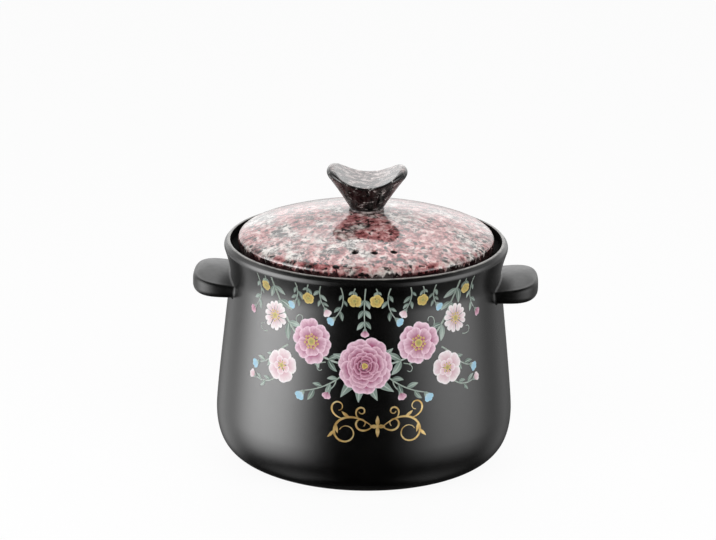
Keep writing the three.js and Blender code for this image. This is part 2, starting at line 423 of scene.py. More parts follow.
def cut_out(piece, cutters):
    """Cuts the cutters out of a piece and removes them."""
    for cutter in cutters:
        modifier = piece.modifiers.new("cut", "BOOLEAN")
        modifier.operation = "DIFFERENCE"
        modifier.solver = "EXACT"
        modifier.object = cutter
    graph = bpy.context.evaluated_depsgraph_get()
    cut_mesh = bpy.data.meshes.new_from_object(piece.evaluated_get(graph))
    piece.modifiers.clear()
    piece.data = cut_mesh
    for cutter in cutters:
        bpy.data.objects.remove(cutter)


def darken_throats(mesh, turns, margin=0.05):
    """Gives the faces inside the steam vents the lid's third material, which is painted shade."""
    for face in mesh.polygons:
        for turn in turns:
            away = face.center.xy - Vector((math.sin(turn), -math.cos(turn))) * VENT_CIRCLE * MM
            if away.length < (VENT_RADIUS + margin) * MM:
                face.material_index = 2


def make_lid(glaze, clay, throat):
    """The domed lid, with its rounded edge, locating skirt and steam vents."""
    shoulder_radius = LID_RADIUS - LID_SHOULDER
    shoulder_z = dome_z(shoulder_radius)
    slope = shoulder_radius / math.sqrt(DOME_RADIUS ** 2 - shoulder_radius ** 2)
    shoulder_top = shoulder_z - slope * LID_SHOULDER
    skirt_top = dome_z(SKIRT_INSIDE) - LID_THICKNESS
    inside = outline(
        dome_line(0, SKIRT_INSIDE - SKIRT_ROUND, LID_THICKNESS),
        eased(5, (SKIRT_INSIDE, skirt_top), (-SKIRT_ROUND, 0), (0, -SKIRT_ROUND)),
        eased(5, (SKIRT_INSIDE, SKIRT_Z), (0, SKIRT_ROUND), (SKIRT_ROUND, 0)),
        eased(5, (SKIRT_RADIUS, SKIRT_Z), (-SKIRT_ROUND, 0), (0, SKIRT_ROUND)),
    )
    seat = np.array([(SKIRT_RADIUS, SEAT_Z), (LID_RADIUS - LID_EDGE_ROUND, SEAT_Z)])
    top = outline(
        eased(8, (LID_RADIUS, SEAT_Z), (-LID_EDGE_ROUND, 0), (0, LID_EDGE_ROUND)),
        corner(16, (LID_RADIUS, shoulder_top - LID_SHOULDER_DROP), (LID_RADIUS, shoulder_top),
               (shoulder_radius, shoulder_z)),
        dome_line(shoulder_radius, 0),
    )
    body = outline(inside, seat, top)
    row_slots = np.zeros(len(body) - 1, int)
    row_slots[len(inside) - 6:len(inside) + 2] = 1
    piece = turned("lid_glazed", body, [glaze, clay, throat], row_slots)
    step = VENT_PITCH / VENT_CIRCLE
    turns = [VENT_TURN + step * (i - (VENT_COUNT - 1) / 2) for i in range(VENT_COUNT)]
    cut_out(piece, [cutter for turn in turns for cutter in vent_cutters(turn)])
    darken_throats(piece.data, turns)
    piece.data.set_sharp_from_angle(angle=math.radians(LID_SHARP))
    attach(piece, "lid")
    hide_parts("lid")


def saddle_z(x):
    """Height of the knob's scooped top, which runs along Y."""
    widest = SADDLE_RADIUS - 1
    return SADDLE_Z + SADDLE_RADIUS - np.sqrt(SADDLE_RADIUS ** 2 - np.square(np.clip(x, -widest, widest)))


def trumpet_outline():
    """The knob's side from its neck to the top, before the saddle is scooped out."""
    nose_z = KNOB_TIP_Z - NOSE_TOP_HEIGHT
    neck = np.array((KNOB_NECK_RADIUS, KNOB_LOW[2]))
    flare_end = np.array((KNOB_RADIUS - NOSE_UNDER_WIDTH, nose_z - NOSE_UNDER_HEIGHT))
    pulls = [neck + share * (flare_end - neck) - (FLARE_HOLLOW, 0) for share in (1 / 3, 2 / 3)]
    bead = neck + (KNOB_BEAD, KNOB_BEAD)
    return outline(
        corner(8, neck, neck + (KNOB_BEAD, 0), bead),
        corner(8, bead, bead + (0, KNOB_BEAD), neck + (0, 2 * KNOB_BEAD)),
        bend(60, neck + (0, 2.2 * KNOB_BEAD), *pulls, flare_end),
        corner(24, flare_end, (KNOB_RADIUS, nose_z - NOSE_UNDER_HEIGHT / 2), (KNOB_RADIUS, nose_z)),
        corner(24, (KNOB_RADIUS, nose_z), (KNOB_RADIUS, KNOB_TIP_Z),
               (KNOB_RADIUS - NOSE_TOP_WIDTH, KNOB_TIP_Z)),
        np.stack([np.linspace(KNOB_RADIUS - NOSE_TOP_WIDTH, 0, 60), np.full(60, KNOB_TIP_Z)], axis=1),
    )


def knob_section(side, angle, count):
    """The knob's half section at an angle from the X axis: up the side, round the lip, along the saddle."""
    toward_tip = abs(math.cos(angle))
    height = saddle_z(side[:, 0] * toward_tip)
    cut = int(np.argmax(side[:, 1] > height))
    above = side[cut - 1:cut + 1, 1] - height[cut - 1:cut + 1]
    edge = side[cut - 1] + (side[cut] - side[cut - 1]) * (-above[0] / (above[1] - above[0]))
    inward = np.linspace(edge[0], 0, 80)
    saddle = np.stack([inward, np.minimum(saddle_z(inward * toward_tip), KNOB_TIP_Z)], axis=1)
    below = resampled(np.concatenate([side[:cut], [edge]]), KNOB_SAMPLES)
    beyond = resampled(saddle, KNOB_SAMPLES)
    under = below[np.linalg.norm(below - edge, axis=1) > KNOB_LIP_ROUND]
    over = beyond[np.linalg.norm(beyond - edge, axis=1) > KNOB_LIP_ROUND]
    lip = corner(40, under[-1], edge, over[0], KNOB_LIP_CORNER)
    return resampled(outline(under, lip, over), count)


def make_knob(glaze):
    """The knob: a trumpet whose top is scooped into a saddle, with a soft lip all round."""
    side = trumpet_outline()
    sections = []
    for angle in np.linspace(0, 2 * math.pi, KNOB_STEPS, endpoint=False):
        r, z = knob_section(side, angle, KNOB_ROWS)[:-1].T
        sections.append(np.stack([r * math.cos(angle), r * math.sin(angle), z], axis=1))
    rings = np.stack(sections, axis=1)
    foot = rings[:1] - (0, 0, KNOB_SUNK)
    bottom = (0, 0, KNOB_LOW[2] - KNOB_SUNK)
    vertices, faces = closed_rings(np.concatenate([foot, rings]), bottom, (0, 0, SADDLE_Z))
    piece = mesh_object("knob_glazed", vertices, faces, [glaze])
    piece.data.set_sharp_from_angle(angle=math.radians(KNOB_SHARP))
    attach(piece, "lid")
    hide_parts("lid_knob")


def handle_plan():
    """The handle's squarish outline from the wall to its tip, and shares of the way from the wall."""
    inside = math.sqrt(HANDLE_ROOT ** 2 - HANDLE_HALF_WIDTH ** 2)
    crowding = 1.6
    near_wall = np.linspace(0, 1, 15)[:-1] ** crowding
    leaving = inside + near_wall * (HANDLE_ROOT + HANDLE_LEAD - inside)
    power = 2 / HANDLE_SQUARENESS
    turn = np.linspace(math.asin((HANDLE_LEAD / HANDLE_REACH) ** (1 / power)), math.pi / 2, 30)
    x = np.concatenate([leaving, HANDLE_ROOT + HANDLE_REACH * np.sin(turn) ** power])
    out = np.clip((leaving - HANDLE_ROOT) / HANDLE_REACH, 0, 1)
    across = np.concatenate([(1 - out ** HANDLE_SQUARENESS) ** (1 / HANDLE_SQUARENESS),
                             np.abs(np.cos(turn)) ** power])
    return np.stack([x, -HANDLE_HALF_WIDTH * across], axis=1), near_wall


def handle_half(up):
    """Grid of the handle's upper or lower half, from its widest line in to its middle line."""
    plan, near_wall = handle_plan()
    plan = np.concatenate([plan, plan[-2::-1] * (1, -1)])
    ahead = np.gradient(plan, axis=0)
    inward = np.stack([-ahead[:, 1], ahead[:, 0]], axis=1)
    inward /= np.linalg.norm(inward, axis=1)[:, None]
    shoulder = HANDLE_HALF_THICKNESS - HANDLE_UNDER_CROWN
    edge_round, crown = ((HANDLE_TOP_ROUND, HANDLE_CROWN) if up > 0
                         else (HANDLE_UNDER_ROUND, HANDLE_UNDER_CROWN))
    edge = outline([(0, 0)], corner(10, (0, shoulder - edge_round), (0, shoulder), (edge_round, shoulder),
                                    HANDLE_EDGE_CORNER))
    tilt = np.gradient(edge, axis=0)
    tilt /= np.linalg.norm(tilt, axis=1)[:, None]
    tilt[0] = (0, 1)
    shelf = plan + inward * edge_round
    inside = plan[0, 0]
    squeeze = (HANDLE_ROOT + HANDLE_SPINE - inside) / (HANDLE_TIP - inside)
    spine = np.stack([inside + (plan[:, 0] - inside) * squeeze, np.zeros(len(plan))], axis=1)
    rows = []
    for (depth, height), (rise, lean) in zip(edge, tilt):
        rows.append((plan + inward * depth, height, -inward * lean, rise))
    for share in np.linspace(0, 1, 13)[1:]:
        height = shoulder + crown * (1 - (1 - share) ** 2)
        rows.append((shelf + (spine - shelf) * share, height, np.zeros_like(plan), 1.0))
    return np.array([handle_row(place, height * up, outward, rise * up, near_wall)
                     for place, height, outward, rise in rows])


def handle_row(place, height, outward, rise, near_wall):
    """One lengthwise row of the handle, set on the wall at both ends with a small fillet."""
    joint = place[len(near_wall), 0]
    climb_out = HANDLE_RISE / HANDLE_REACH * max(height, 0) / HANDLE_HALF_THICKNESS
    points = []
    for i, (x, y) in enumerate(place):
        from_wall = min(i, len(place) - 1 - i)
        z = HANDLE_Z + height
        if from_wall < len(near_wall):
            start = math.sqrt(wall_radius(z) ** 2 - y ** 2)
            clear = near_wall[from_wall] * (joint - start + HANDLE_SUNK) - HANDLE_SUNK
            short = HANDLE_FILLET - min(max(clear, 0), HANDLE_FILLET)
            swell = HANDLE_FILLET - math.sqrt(HANDLE_FILLET ** 2 - short ** 2)
            y += swell * outward[i, 1]
            z += swell * rise
            x = math.sqrt(wall_radius(z) ** 2 - y ** 2) + clear
        points.append((x, y, z + climb_out * (x - HANDLE_ROOT)))
    return np.array(points)


def make_handle(name, node, glaze, turn):
    """A lug handle: a soft tab that grows out of the wall on the +X side, turned into place."""
    upper = handle_half(1)
    lower = handle_half(-1)
    rows, columns = upper.shape[:2]
    top_faces = grid_faces(rows, columns, closed=False)
    bottom_faces = [face[::-1] for face in grid_faces(rows, columns, closed=False, first=rows * columns)]
    vertices = np.concatenate([upper.reshape(-1, 3), lower.reshape(-1, 3)])
    piece = mesh_object(name, vertices, top_faces + bottom_faces, [glaze])
    weld(piece.data)
    piece.data.transform(Matrix.Rotation(turn, 4, "Z"))
    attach(piece, "pot")
    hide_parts(node)


def weld(mesh, distance=1e-6):
    """Joins doubled vertices, closes open ends and turns the faces outwards."""
    form = bmesh.new()
    form.from_mesh(mesh)
    bmesh.ops.remove_doubles(form, verts=form.verts, dist=distance)
    bmesh.ops.holes_fill(form, edges=[edge for edge in form.edges if edge.is_boundary])
    bmesh.ops.recalc_face_normals(form, faces=form.faces)
    form.to_mesh(mesh)
    form.free()


def on_wall(spots, lift):
    """Places on the vessel's front, from millimetres round the wall and up it, raised by a lift."""
    around = spots[..., 0] / RIM_RADIUS
    radius = wall_radius(spots[..., 1]) + lift
    return np.stack([radius * np.sin(around), -radius * np.cos(around), spots[..., 1]], axis=-1)


def fan(centre, heading, length, spread, root=0.1, waist=0.6, droop=0.3, blunt=3.0, notch=0.0,
        rows=8, columns=9):
    """Grid of a petal that fans out from a centre, with a rounded, pointed or notched end."""
    notch_width = 0.25
    along = np.linspace(root, 1, rows)[:, None]
    across = np.linspace(-1, 1, columns)[None, :]
    dent = notch * np.exp(-np.square(across / notch_width))
    reach = length * (1 - droop * np.abs(across) ** blunt - dent)
    angle = heading + spread * across * (waist + (1 - waist) * along)
    ray = np.stack([np.cos(angle), np.sin(angle)], axis=-1)
    return np.array(centre) + (along * reach)[..., None] * ray


def curl(start, heading, length, turn_start, turn_end, rows=28):
    """Places along a line whose bend changes evenly, as a tendril's does. Turns are in radians."""
    along = np.linspace(0, 1, rows)
    angle = heading + turn_start * along + (turn_end - turn_start) * along ** 2 / 2
    steps = np.stack([np.cos(angle), np.sin(angle)], axis=1) * length / (rows - 1)
    return np.array(start) + np.concatenate([[[0, 0]], np.cumsum(steps[:-1], axis=0)])


def ribbon(line, half_widths, columns=3):
    """Grid of a band along a line, with a half width for each of its places."""
    ahead = np.gradient(line, axis=0)
    ahead /= np.linalg.norm(ahead, axis=1)[:, None]
    side = np.stack([-ahead[:, 1], ahead[:, 0]], axis=1) * np.array(half_widths)[:, None]
    across = np.linspace(-1, 1, columns)
    return line[:, None] + across[None, :, None] * side[:, None]


def leaf(start, heading, length, width, turn=0.0, rows=11):
    """Grid of a pointed leaf with a curved rib."""
    narrowest = 0.02
    along = np.linspace(0, 1, rows)
    half = width / 2 * np.sin(math.pi * along ** 0.85) ** 0.9
    return ribbon(curl(start, heading, length, turn, turn, rows), np.maximum(half, narrowest), columns=7)


class Press:
    """Gathers the print's shapes by kind. A side of -1 lays them down mirrored."""

    def __init__(self):
        self.shapes = {}
        self.side = 1
        self.chance = np.random.default_rng(7)

    def lay(self, kind, grid, layer, tone=0.5):
        """Adds a shape, with its lift above the wall and a random number of its own."""
        place = grid * (self.side, 1) + (PRINT_CENTRE, 0)
        lift = PRINT_LIFT + PRINT_STEP * layer
        self.shapes.setdefault(kind, []).append((place, lift, tone, self.chance.random()))

    def stem(self, line, thick=0.55, thin=0.3):
        """A stem along a line, from a thick end to a thin one."""
        self.lay("stems", ribbon(line, np.linspace(thick, thin, len(line))), 0)

    def leaves(self, line, places, length, width, spread=0.9, paired=True):
        """Leaves along a stem at shares of its length, in pairs or on one side after the other."""
        for order, share in enumerate(places):
            at = min(int(share * (len(line) - 1)), len(line) - 2)
            ahead = line[at + 1] - line[at]
            heading = math.atan2(ahead[1], ahead[0])
            for hand in ((1, -1) if paired else (1 - 2 * (order % 2),)):
                size = self.chance.uniform(0.75, 1.15)
                turn = hand * self.chance.uniform(0.2, 0.9)
                grid = leaf(line[at], heading + hand * spread, length * size, width * size, -turn)
                self.lay("leaves", grid, 2 + (2 * order + (hand > 0)) % 5, self.chance.uniform(0.0, 0.9))

    def ring(self, kind, centre, radius, count, layer, tone, turn=0.0, overlap=1.15, loose=0.04, **shape):
        """Petals all round a centre, a little uneven in size and direction."""
        for i in range(count):
            size = radius * (1 + self.chance.uniform(-loose, loose))
            heading = turn + 2 * math.pi * i / count + self.chance.uniform(-loose, loose)
            shade = tone + self.chance.uniform(-PETAL_VARIETY, PETAL_VARIETY)
            self.lay(kind, fan(centre, heading, size, math.pi / count * overlap, **shape), layer + i, shade)

    def stamens(self, centre, radius, count, layer):
        """A round eye with a ring of dots."""
        self.ring("yellow", centre, radius * 0.6, 5, layer, 0.2, overlap=1.3, droop=0.1)
        for i in range(count):
            heading = 2 * math.pi * (i + 0.5) / count
            reach = radius * (0.86 + 0.2 * (i % 2))
            spot = np.array(centre) + reach * np.array((math.cos(heading), math.sin(heading)))
            self.ring("yellow", spot, radius * 0.17, 3, layer + 5, 0.8, overlap=1.2, droop=0.05)

    def camellia(self, centre, radius):
        """A full bloom with rings of close petals, deeper towards its heart."""
        rings = ((7, 1.0), (7, 0.82), (6, 0.66), (6, 0.52), (5, 0.39), (4, 0.27), (3, 0.16))
        layer = 8
        for order, (count, share) in enumerate(rings):
            tone = 0.1 + 0.13 * order
            turn = 0.55 * order + 0.2
            self.ring("pink", centre, radius * share, count, layer, tone, turn, overlap=1.3, loose=0.07,
                      root=0.66, waist=0.85, droop=0.26, notch=0.06)
            layer += count
        self.ring("yellow", centre, radius * 0.11, 3, layer, 0.5)

    def double_rose(self, centre, radius, tone, turn):
        """An open bloom with two rings of notched petals round a yellow eye."""
        self.ring("pink", centre, radius, 6, 8, tone, turn, overlap=1.24, loose=0.08, root=0.5,
                  droop=0.3, notch=0.08)
        self.ring("pink", centre, radius * 0.7, 5, 14, tone + 0.12, turn + 0.5, overlap=1.2, loose=0.08,
                  root=0.25, droop=0.28, notch=0.07)
        self.stamens(centre, radius * 0.3, 14, 20)

    def white_flower(self, centre, radius, turn):
        """Five round white petals round a small eye."""
        self.ring("white", centre, radius, 5, 8, 0.4, turn, overlap=1.14, root=0.35, droop=0.25, notch=0.05)
        self.ring("white", centre, radius * 0.55, 5, 13, 0.9, turn + 0.6, overlap=0.95, droop=0.3)
        self.stamens(centre, radius * 0.26, 9, 19)

    def daisy(self, centre, radius, turn):
        """Narrow white petals round a wide yellow eye."""
        self.ring("white", centre, radius, 13, 8, 0.2, turn, overlap=0.98, root=0.2, waist=0.5, droop=0.2)
        self.stamens(centre, radius * 0.36, 10, 22)

    def bell(self, spot, heading, length, kind="blue", tone=0.5):
        """A hanging bell of three petals in a small green cup."""
        for order, turn in enumerate((-0.34, 0.34, 0.0)):
            reach = length * (1.0 if turn else 1.06)
            petal = fan(spot, heading + turn, reach, 0.3, root=0.05, waist=0.95, droop=0.18, blunt=2.0,
                        rows=6, columns=5)
            self.lay(kind, petal, 8 + order, tone + 0.12 * order)
        for order, turn in enumerate((-0.5, 0.5)):
            self.lay("leaves", leaf(spot, heading + turn, length * 0.45, length * 0.2), 12 + order, 0.7)

    def buttercup(self, centre, radius, turn):
        """Five small yellow petals."""
        self.ring("yellow", centre, radius, 5, 8, 0.6, turn, overlap=1.05, droop=0.2)
        self.ring("yellow", centre, radius * 0.4, 3, 14, 0.0, turn)


def lay_branch(press):
    """One half of the swag: a main branch from the rim to the middle, with its flowers and side shoots."""
    main = bend(40, (70, PRINT_TOP), (66, 124), (42, 101), (12, 97))
    press.stem(main, 0.7, 0.6)
    press.leaves(main, (0.08, 0.2, 0.42, 0.58, 0.74, 0.86), 11, 4.2)
    press.double_rose((38, 111), 15.5, 0.08, 0.3)
    press.daisy((69, 124), 10, 0.1)
    press.white_flower((60, 91), 12, 0.5)

    low = curl((13, 92), -0.8, 33, 0.7, 0.5)
    press.stem(low)
    press.leaves(low, (0.25, 0.42, 0.6, 0.78), 8.5, 3.4, paired=False)
    press.bell(low[-1], -0.9, 7.5, tone=0.4)
    fork = curl(low[7], -1.5, 9, 1.2, 0.8, 14)
    press.stem(fork, 0.45)
    press.bell(fork[-1], -1.2, 6.5, "pink", 0.1)

    outer = curl((56, 106), -0.5, 30, -1.4, 2.2)
    press.stem(outer)
    press.leaves(outer, (0.5, 0.66, 0.82), 7.5, 3, paired=False)
    press.bell(outer[-1], -0.5, 7, tone=0.55)

    tail = curl((63, 84), -1.0, 22, 1.7, 0.9)
    press.stem(tail)
    press.leaves(tail, (0.4, 0.6, 0.8), 7, 2.8, paired=False)
    press.bell(tail[-1], 0.3, 6.5, "white", 0.6)

    for u, heading, drop, turn, kind in ((17, -1.9, 24, 1.1, "blue"), (31, -1.2, 17, -1.0, "white"),
                                         (50, -1.9, 15, 1.0, "blue"), (84, -1.8, 26, 0.9, "pink")):
        hang = curl((u, PRINT_TOP), heading, drop, turn, turn, 18)
        press.stem(hang, 0.4, 0.3)
        press.leaves(hang, (0.25, 0.45, 0.65, 0.82), 6.5, 2.6, paired=False)
        press.bell(hang[-1], heading + turn + 0.1, 6.5, kind, 0.45)
    for u, heading, reach, turn, size in ((7, -1.1, 10, -0.9, 4.8), (40, -1.1, 11, -0.8, 4.4),
                                          (76, -1.7, 8, 0.6, 3.8)):
        hang = curl((u, PRINT_TOP), heading, reach, turn, turn, 12)
        press.stem(hang, 0.4, 0.3)
        press.leaves(hang, (0.35,), 5, 2.2)
        press.buttercup(hang[-1], size, heading)
    for start, heading, turn in (((27, 98), -0.2, -9.0), ((50, 121), 1.2, 8.0), ((75, 112), -0.3, 8.0)):
        press.stem(curl(start, heading, 13, 0.5, turn, 30), 0.32, 0.2)


def lay_print():
    """The whole floral print: a swag of two mirrored branches that meets in a full bloom."""
    press = Press()
    for press.side in (1, -1):
        lay_branch(press)
    press.side = 1
    drop = curl((0, PRINT_TOP), -math.pi / 2 - 0.1, 29, 0.2, 0.2, 20)
    press.stem(drop, 0.45, 0.35)
    press.leaves(drop, (0.35, 0.6, 0.85), 7, 3)
    press.bell(drop[-1], -math.pi / 2, 6, "pink", 0.2)
    press.camellia((0, 97), 19.5)
    for heading, length in ((-2.35, 26), (-1.85, 24), (-1.3, 24), (-0.8, 26), (0.5, 24), (2.64, 24)):
        press.lay("leaves", leaf((0, 95), heading, length, 7.5, 0.25), 4, 0.25)
    return press.shapes


def lay_ornament():
    """A mirrored flourish of scrolls round a four-leaved middle."""
    shapes = []

    def scroll(start, heading, length, turn_start, turn_end, weight):
        line = curl(start, heading, length, turn_start, turn_end, 44)
        swell = np.sin(math.pi * np.linspace(0, 1, len(line)) ** 0.75) ** 1.5
        shapes.append(ribbon(line, 0.24 + weight * swell))
        return line, np.unwrap(np.arctan2(*np.gradient(line, axis=0).T[::-1]))

    main, headings = scroll((3.5, 0), 0.7, 66, -1.6, -15.0, 0.5)
    for at, away, length, turn_start, turn_end in ((7, 0.6, 19, 2.0, 12.0), (14, 0.7, 27, 1.4, 11.0)):
        scroll(main[at], headings[at] + away, length, turn_start, turn_end, 0.36)
    scroll((3.5, 0), -0.8, 26, 2.2, 11.0, 0.42)
    for at, away in ((11, 0.6), (18, -0.6), (21, 0.6)):
        shapes.append(leaf(main[at], headings[at] + away, 6.5, 2.0, away / 2))
    mirrored = [shape * (-1, 1) for shape in shapes]
    middle = [leaf((0, 0), turn * math.pi / 2, 5.0 + 2.5 * (turn % 2), 2.6) for turn in range(4)]
    placed = [shape + ORNAMENT_CENTRE for shape in shapes + mirrored + middle]
    return [(shape, PRINT_LIFT + PRINT_STEP * order, 0.5, 0.5) for order, shape in enumerate(placed)]


def map_vertices(mesh, label, values):
    """A map on the mesh, from a pair of values for each vertex."""
    corners = np.zeros(len(mesh.loops), int)
    mesh.loops.foreach_get("vertex_index", corners)
    mesh.uv_layers.new(name=label).data.foreach_set("uv", values[corners].ravel())


def make_print(name, shapes, look):
    """One object for all shapes of a kind: thin closed solids, with maps along and across each."""
    vertices, faces, along_across, tones = [], [], [], []
    for grid, lift, tone, chance in shapes:
        rows, columns = grid.shape[:2]
        count = rows * columns
        first = sum(len(part) for part in vertices)
        vertices += [on_wall(grid, lift).reshape(-1, 3), on_wall(grid, -PRINT_SUNK).reshape(-1, 3)]
        faces += grid_faces(rows, columns, closed=False, first=first)
        faces += [face[::-1] for face in grid_faces(rows, columns, closed=False, first=first + count)]
        order = np.arange(count).reshape(rows, columns)
        ring = np.concatenate([order[0, :-1], order[:-1, -1], order[-1, :0:-1], order[:0:-1, 0]]) + first
        faces += [(a, b, b + count, a + count) for a, b in zip(ring.tolist(), np.roll(ring, -1).tolist())]
        t, s = np.meshgrid(np.linspace(0, 1, rows), np.linspace(0, 1, columns), indexing="ij")
        along_across += [np.stack([t, s], axis=-1).reshape(-1, 2)] * 2
        tones += [np.tile((tone, chance), (2 * count, 1))]
    piece = mesh_object(name, np.concatenate(vertices), faces, [look])
    map_vertices(piece.data, "petal", np.concatenate(along_across))
    map_vertices(piece.data, "tone", np.concatenate(tones))
    weld(piece.data)
    piece.data.set_sharp_from_angle(angle=math.radians(PRINT_SHARP))
    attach(piece, "pot")


class Nodes:
    """Short calls for building the node tree of a material or a world."""

    def __init__(self, owner):
        owner.use_nodes = True
        self.owner = owner
        self.tree = owner.node_tree
        self.coordinates = self.add("ShaderNodeTexCoord")
        self.place = self.coordinates.outputs["Object"]
        self.shader = self.tree.nodes.get("Principled BSDF")

    def add(self, kind, inputs=None, **settings):
        """A new node with its settings and, by name or number, what goes into its inputs."""
        node = self.tree.nodes.new(kind)
        for key, value in settings.items():
            setattr(node, key, value)
        for key, value in (inputs or {}).items():
            self.feed(node.inputs[key], value)
        return node

    def feed(self, socket, value):
        """Links an output to a socket, or gives the socket a fixed value."""
        if isinstance(value, bpy.types.NodeSocket):
            self.tree.links.new(value, socket)
        else:
            socket.default_value = value

    def noise(self, scale, detail=2.0, roughness=0.5, distortion=0.0, place=None, output="Fac"):
        node = self.add("ShaderNodeTexNoise", {
            "Vector": place or self.place, "Scale": scale, "Detail": detail, "Roughness": roughness,
            "Distortion": distortion})
        return node.outputs[output]

    def cells(self, scale, place):
        return self.add("ShaderNodeTexVoronoi", {"Vector": place, "Scale": scale})

    def ramp(self, factor, stops):
        node = self.add("ShaderNodeValToRGB", {"Fac": factor})
        while len(node.color_ramp.elements) < len(stops):
            node.color_ramp.elements.new(1.0)
        for element, (place, colour) in zip(node.color_ramp.elements, stops):
            element.position = place
            element.color = (*colour, 1.0)
        return node.outputs["Color"]

    def span(self, value, low, high, to_low=0.0, to_high=1.0, **settings):
        """A value carried over from one range to another, and held at its ends."""
        node = self.add("ShaderNodeMapRange", {
            "Value": value, "From Min": low, "From Max": high,
            "To Min": to_low, "To Max": to_high}, **settings)
        return node.outputs["Result"]

    def wander(self, low, high, scale, detail=2.0):
        """A value that drifts between two others over the surface."""
        return self.span(self.noise(scale, detail), 0.3, 0.7, low, high)

    def mix(self, factor, under, over):
        """A blend of two colours, which are inputs 6 and 7 and output 2 of their node."""
        node = self.add("ShaderNodeMix", {"Factor": factor}, data_type="RGBA")
        for socket, value in zip((node.inputs[6], node.inputs[7]), (under, over)):
            self.feed(socket, value if isinstance(value, bpy.types.NodeSocket) else (*value, 1.0))
        return node.outputs[2]

    def maths(self, operation, first, second=0.0):
        return self.add("ShaderNodeMath", {0: first, 1: second}, operation=operation).outputs["Value"]

    def times(self, first, second):
        return self.maths("MULTIPLY", first, second)

    def plus(self, first, second):
        return self.maths("ADD", first, second)

    def away(self, value, middle):
        """How far a value is from a middle one."""
        return self.maths("ABSOLUTE", self.maths("SUBTRACT", value, middle))

    def parts(self, vector):
        node = self.add("ShaderNodeSeparateXYZ", {"Vector": vector})
        return [node.outputs[axis] for axis in "XYZ"]

    def joined(self, x, y, z):
        return self.add("ShaderNodeCombineXYZ", {"X": x, "Y": y, "Z": z}).outputs["Vector"]

    def mapped(self, label):
        node = self.add("ShaderNodeUVMap", uv_map=label)
        return self.parts(node.outputs["UV"])[:2]

    def shifted(self, amount, scale):
        """The place moved about by a noise, for uneven edges."""
        wander = self.noise(scale, output="Color")
        node = self.add("ShaderNodeVectorMath", {0: wander, 1: (amount, amount, amount), 2: self.place},
                        operation="MULTIPLY_ADD")
        return node.outputs["Vector"]

    def bump(self, scale, strength, distance):
        """A fine unevenness of the surface."""
        node = self.add("ShaderNodeBump", {
            "Strength": strength, "Distance": distance, "Height": self.noise(scale)})
        self.set(Normal=node.outputs["Normal"])

    def set(self, **values):
        for key, value in values.items():
            self.feed(self.shader.inputs[key.replace("_", " ")], value)

    def show(self, shader):
        """Makes a shader the material's surface."""
        self.feed(self.tree.nodes["Material Output"].inputs["Surface"], shader)


def new_look(name):
    """The nodes of a new material."""
    return Nodes(bpy.data.materials.new(name))


def grained(name, scale, dark, light, detail=4.0):
    """A new look whose colour drifts between two tones."""
    nodes = new_look(name)
    colour = nodes.ramp(nodes.noise(scale, detail), [(0.3, dark), (0.7, light)])
    nodes.set(Base_Color=colour)
    return nodes, colour


def black_satin(name, scale, smooth, rough):
    """Black glaze with a faint mottle and a fine orange-peel skin, its roughness between two values."""
    nodes, colour = grained(name, scale, (0.0012, 0.0012, 0.0011), (0.0026, 0.0025, 0.0024))
    nodes.set(Roughness=nodes.wander(smooth, rough, 240.0, detail=3.0))
    nodes.bump(1400.0, 0.05, 0.0002)
    return nodes, colour


def body_glaze():
    """The vessel's black glaze, with a painted grey highlight broken along the crest of the lip."""
    nodes, colour = black_satin("black_glaze", 90.0, 0.22, 0.27)
    height = nodes.parts(nodes.place)[2]
    # Painted highlight: a broken grey line on the top of the lip's crest, in place of the light glinting
    # there.
    crest = nodes.span(height, (POT_HEIGHT - 0.7) * MM, (POT_HEIGHT - 0.1) * MM)
    painted_crest_highlight = nodes.times(crest, nodes.span(nodes.noise(120.0, detail=3.0), 0.35, 0.6, 0.4, 1.0))
    nodes.set(Base_Color=nodes.mix(painted_crest_highlight, colour, (0.2, 0.19, 0.175)), IOR=1.6)
    return nodes.owner


def handle_glaze():
    """The same black glaze where it lies thinner and duller, on the handles."""
    nodes, _ = black_satin("handle_glaze", 120.0, 0.34, 0.4)
    nodes.set(IOR=1.44)
    return nodes.owner


def granite_colour(nodes):
    """Colour of the speckled glaze: rose and stone grains with dark shards and specks."""
    uneven = nodes.shifted(0.008, 130.0)
    grain = nodes.noise(165.0, detail=4.0, roughness=0.62, place=uneven)
    rose = nodes.ramp(grain, [(0.34, (0.05, 0.012, 0.014)), (0.42, (0.22, 0.058, 0.06)),
                              (0.5, (0.46, 0.175, 0.175)), (0.57, (0.64, 0.36, 0.35)),
                              (0.65, (0.8, 0.65, 0.62))])
    shade = nodes.noise(150.0, detail=4.0, roughness=0.66, place=nodes.shifted(0.009, 120.0))
    stone = nodes.ramp(shade, [(0.36, (0.006, 0.006, 0.006)), (0.42, (0.055, 0.05, 0.048)),
                               (0.48, (0.3, 0.27, 0.25)), (0.56, (0.75, 0.7, 0.66))])
    patches = nodes.noise(38.0, detail=4.0, roughness=0.66)
    colour = nodes.mix(nodes.span(patches, 0.41, 0.53), stone, rose)
    shards = nodes.noise(250.0, detail=3.0, roughness=0.7, distortion=0.9)
    clusters = nodes.span(nodes.noise(70.0, detail=2.0), 0.44, 0.58, -0.035, 0.05)
    dark = nodes.span(nodes.plus(shards, clusters), 0.57, 0.63, 0.0, 0.95)
    colour = nodes.mix(dark, colour, (0.012, 0.009, 0.009))
    speck = nodes.cells(220.0, uneven)
    chosen = nodes.span(speck.outputs["Color"], 0.4, 0.36)
    spot = nodes.times(nodes.span(speck.outputs["Distance"], 0.46, 0.32), chosen)
    return nodes.mix(spot, colour, (0.008, 0.006, 0.006))


def glossy_finish(nodes, colour, index):
    """Gives a material the speckled glaze's thick, slightly wavy gloss."""
    nodes.set(Base_Color=colour, Roughness=nodes.wander(0.06, 0.12, 300.0), IOR=index)
    nodes.bump(420.0, 0.06, 0.0004)
    return nodes.owner


